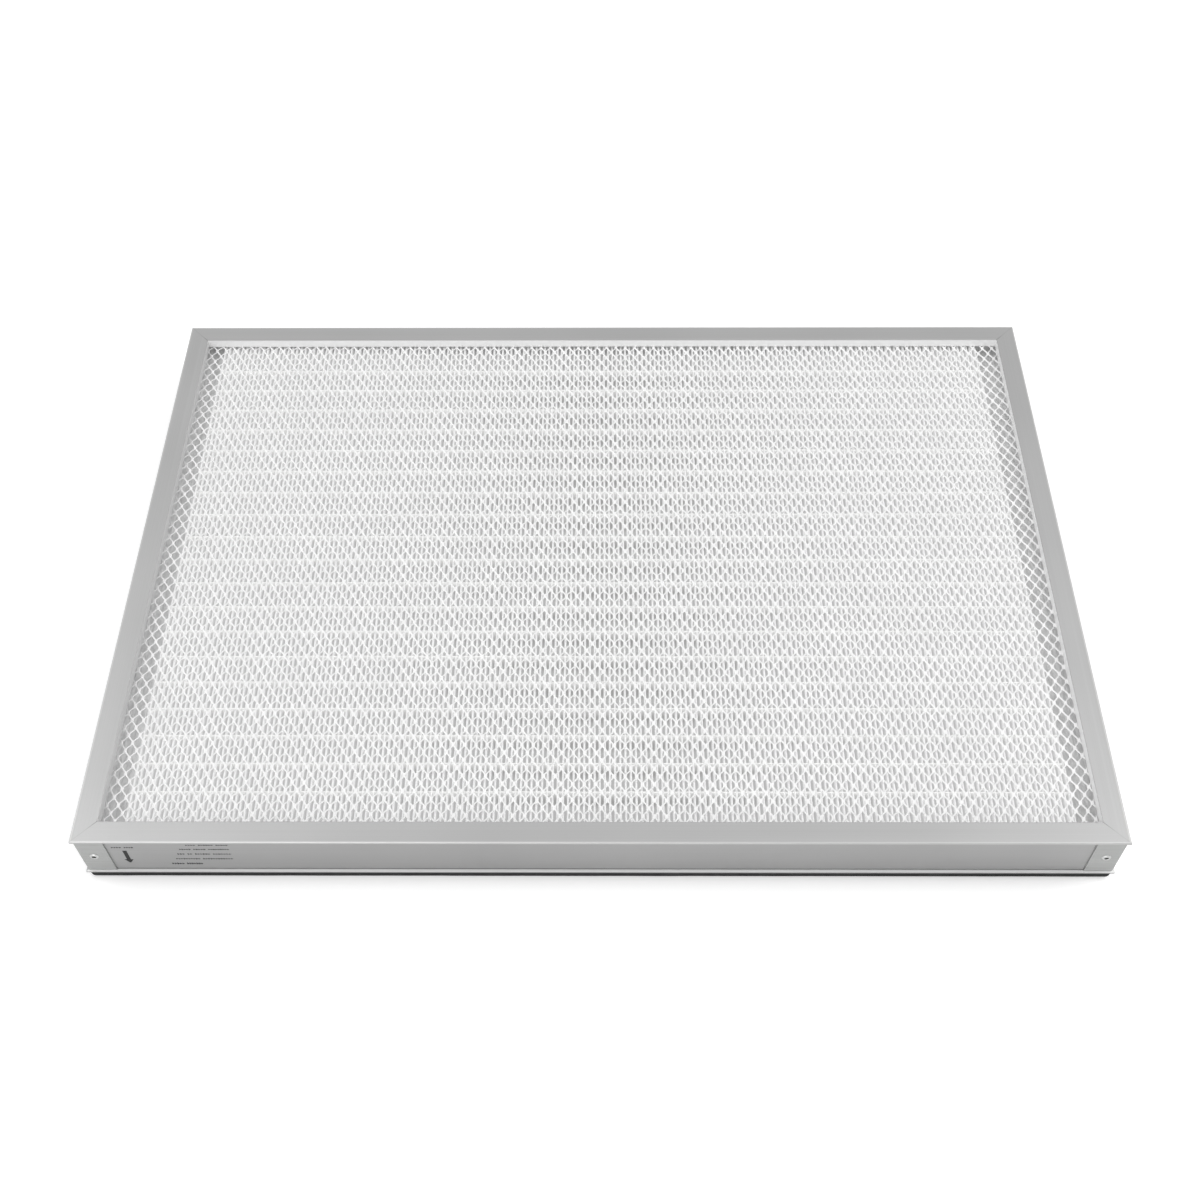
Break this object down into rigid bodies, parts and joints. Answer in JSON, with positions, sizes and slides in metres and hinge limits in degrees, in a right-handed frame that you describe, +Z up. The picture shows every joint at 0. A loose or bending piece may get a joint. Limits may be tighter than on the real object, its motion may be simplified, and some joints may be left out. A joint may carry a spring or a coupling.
{
  "type": "hepa filter panel",
  "caption": "Flat rectangular mini-pleat air filter: mitred metal frame with riveted corner angles, pleated white pack, expanded-metal guards and a foam gasket.",
  "frame": {"origin": "middle of the gasket's underside, on the surface the panel lies on", "axes": "+X along the long side, +Y from the front edge with the printed mark to the back, +Z up through the panel to the open guard"},
  "size_m": [0.8, 0.56, 0.0565],
  "materials": {
    "anodised_frame": "satin anodised",
    "bracket_metal": "satin anodised",
    "rivet_metal": "bright, pressed",
    "foam_gasket": "matt foam skin",
    "cast_sealant": "cast, satin",
    "glass_paper": "matt paper",
    "hot_melt": "set glue",
    "guard_enamel": "white powder coat",
    "print_ink": "matt ink"
  },
  "bodies": {
    "root": {"frame_front": "anodised_frame", "frame_back": "anodised_frame", "frame_left": "anodised_frame", "frame_right": "anodised_frame", "corner_bracket_front_left": "bracket_metal", "corner_bracket_front_right": "bracket_metal", "corner_bracket_back_left": "bracket_metal", "corner_bracket_back_right": "bracket_metal", "corner_rivets": "rivet_metal", "gasket": "foam_gasket", "sealant": "cast_sealant", "pleated_media": "glass_paper", "separator_beads_upper": "hot_melt", "separator_beads_lower": "hot_melt", "face_guard_upper": "guard_enamel", "face_guard_lower": "guard_enamel"}
  },
  "joints": []
}
